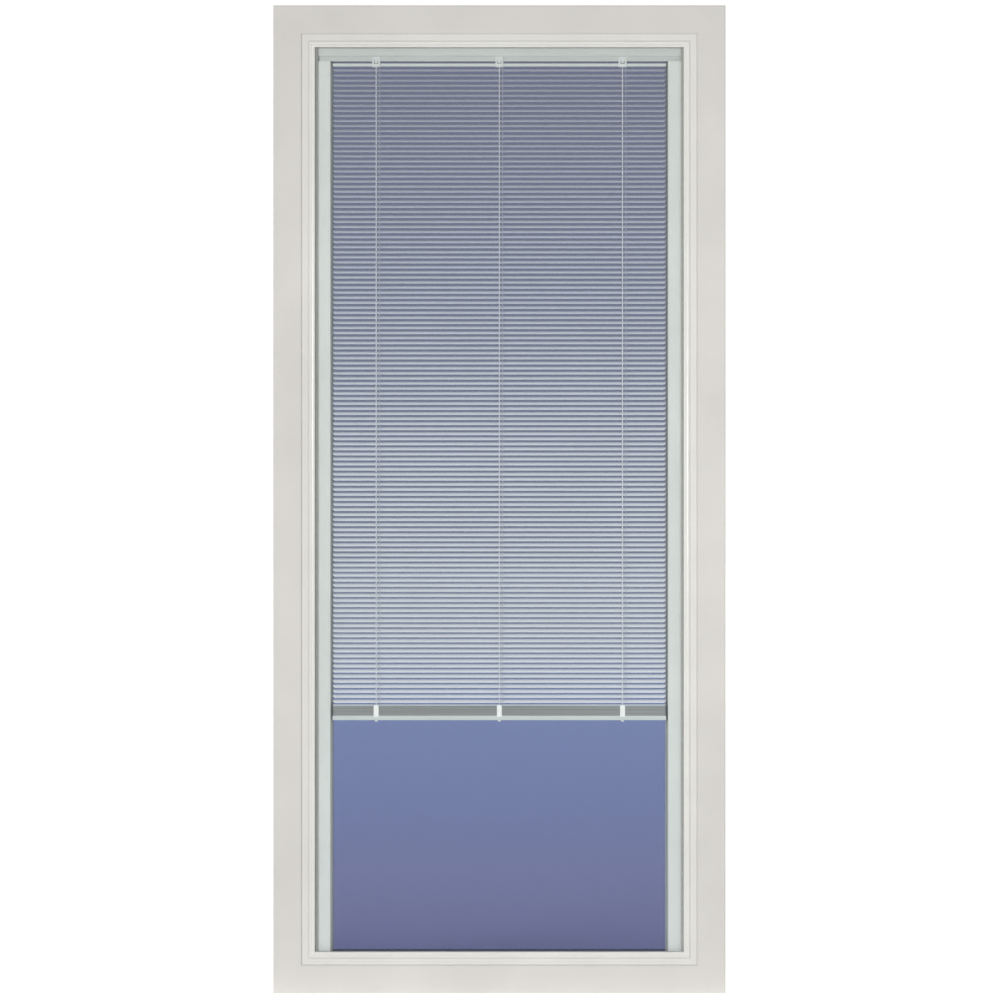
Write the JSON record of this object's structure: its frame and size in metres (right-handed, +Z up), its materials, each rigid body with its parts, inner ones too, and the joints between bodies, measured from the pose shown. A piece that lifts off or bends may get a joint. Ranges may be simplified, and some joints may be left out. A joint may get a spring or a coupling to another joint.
{
  "type": "storm door",
  "caption": "Full-view aluminium storm door with stepped glazing beads and a mini-blind sealed inside its insulated glass, swinging on a continuous hinge along one edge.",
  "frame": {"origin": "on the hinge rail's jamb face, at the rail's bottom end, in the leaf's middle plane", "axes": "+X from the jamb to the latch edge, +Y from the pictured face to the back, +Z up"},
  "size_m": [0.902, 0.045, 1.97],
  "materials": {
    "frame_paint": "satin off-white powder coat",
    "bead_paint": "semi-gloss off-white paint",
    "hinge_paint": "satin off-white paint",
    "pin_steel": "plain drawn steel",
    "gasket_rubber": "grey glazing strip",
    "front_glass": "clear float glass",
    "rear_glass": "blue-tinted glass",
    "cassette_paint": "matt pale grey coating",
    "slat_paint": "satin pale enamel",
    "blind_rail_paint": "satin pale enamel",
    "cord_white": "braided polyester",
    "clip_plastic": "moulded white plastic"
  },
  "bodies": {
    "jamb_side": {"hinge_rail": "hinge_paint", "jamb_hinge_leaf": "hinge_paint", "hinge_pin": "pin_steel"},
    "leaf": {"blind_bottom_rail": "blind_rail_paint", "blind_headrail": "blind_rail_paint", "blind_slats": "slat_paint", "bottom_rail": "frame_paint", "bottom_spacer": "cassette_paint", "cord_plugs": "clip_plastic", "door_hinge_leaf": "hinge_paint", "front_bead_bottom": "bead_paint", "front_bead_left": "bead_paint", "front_bead_right": "bead_paint", "front_bead_top": "bead_paint", "front_gasket_bottom": "gasket_rubber", "front_gasket_left": "gasket_rubber", "front_gasket_right": "gasket_rubber", "front_gasket_top": "gasket_rubber", "front_pane": "front_glass", "head_cassette": "cassette_paint", "head_clips": "clip_plastic", "hinge_stile": "frame_paint", "ladder_cords": "cord_white", "latch_stile": "frame_paint", "left_channel": "cassette_paint", "lift_cords": "cord_white", "rear_bead_bottom": "bead_paint", "rear_bead_left": "bead_paint", "rear_bead_right": "bead_paint", "rear_bead_top": "bead_paint", "rear_gasket_bottom": "gasket_rubber", "rear_gasket_left": "gasket_rubber", "rear_gasket_right": "gasket_rubber", "rear_gasket_top": "gasket_rubber", "rear_pane": "rear_glass", "right_channel": "cassette_paint", "slat_stack": "slat_paint", "stack_staples": "clip_plastic", "top_rail": "frame_paint"}
  },
  "joints": [
    {"name": "door_swing", "type": "hinge", "parent": "jamb_side", "child": "leaf", "pos_m": [0.006, 0.022, 0.985], "axis": [0, 0, 1], "range_deg": [0, 110]}
  ]
}
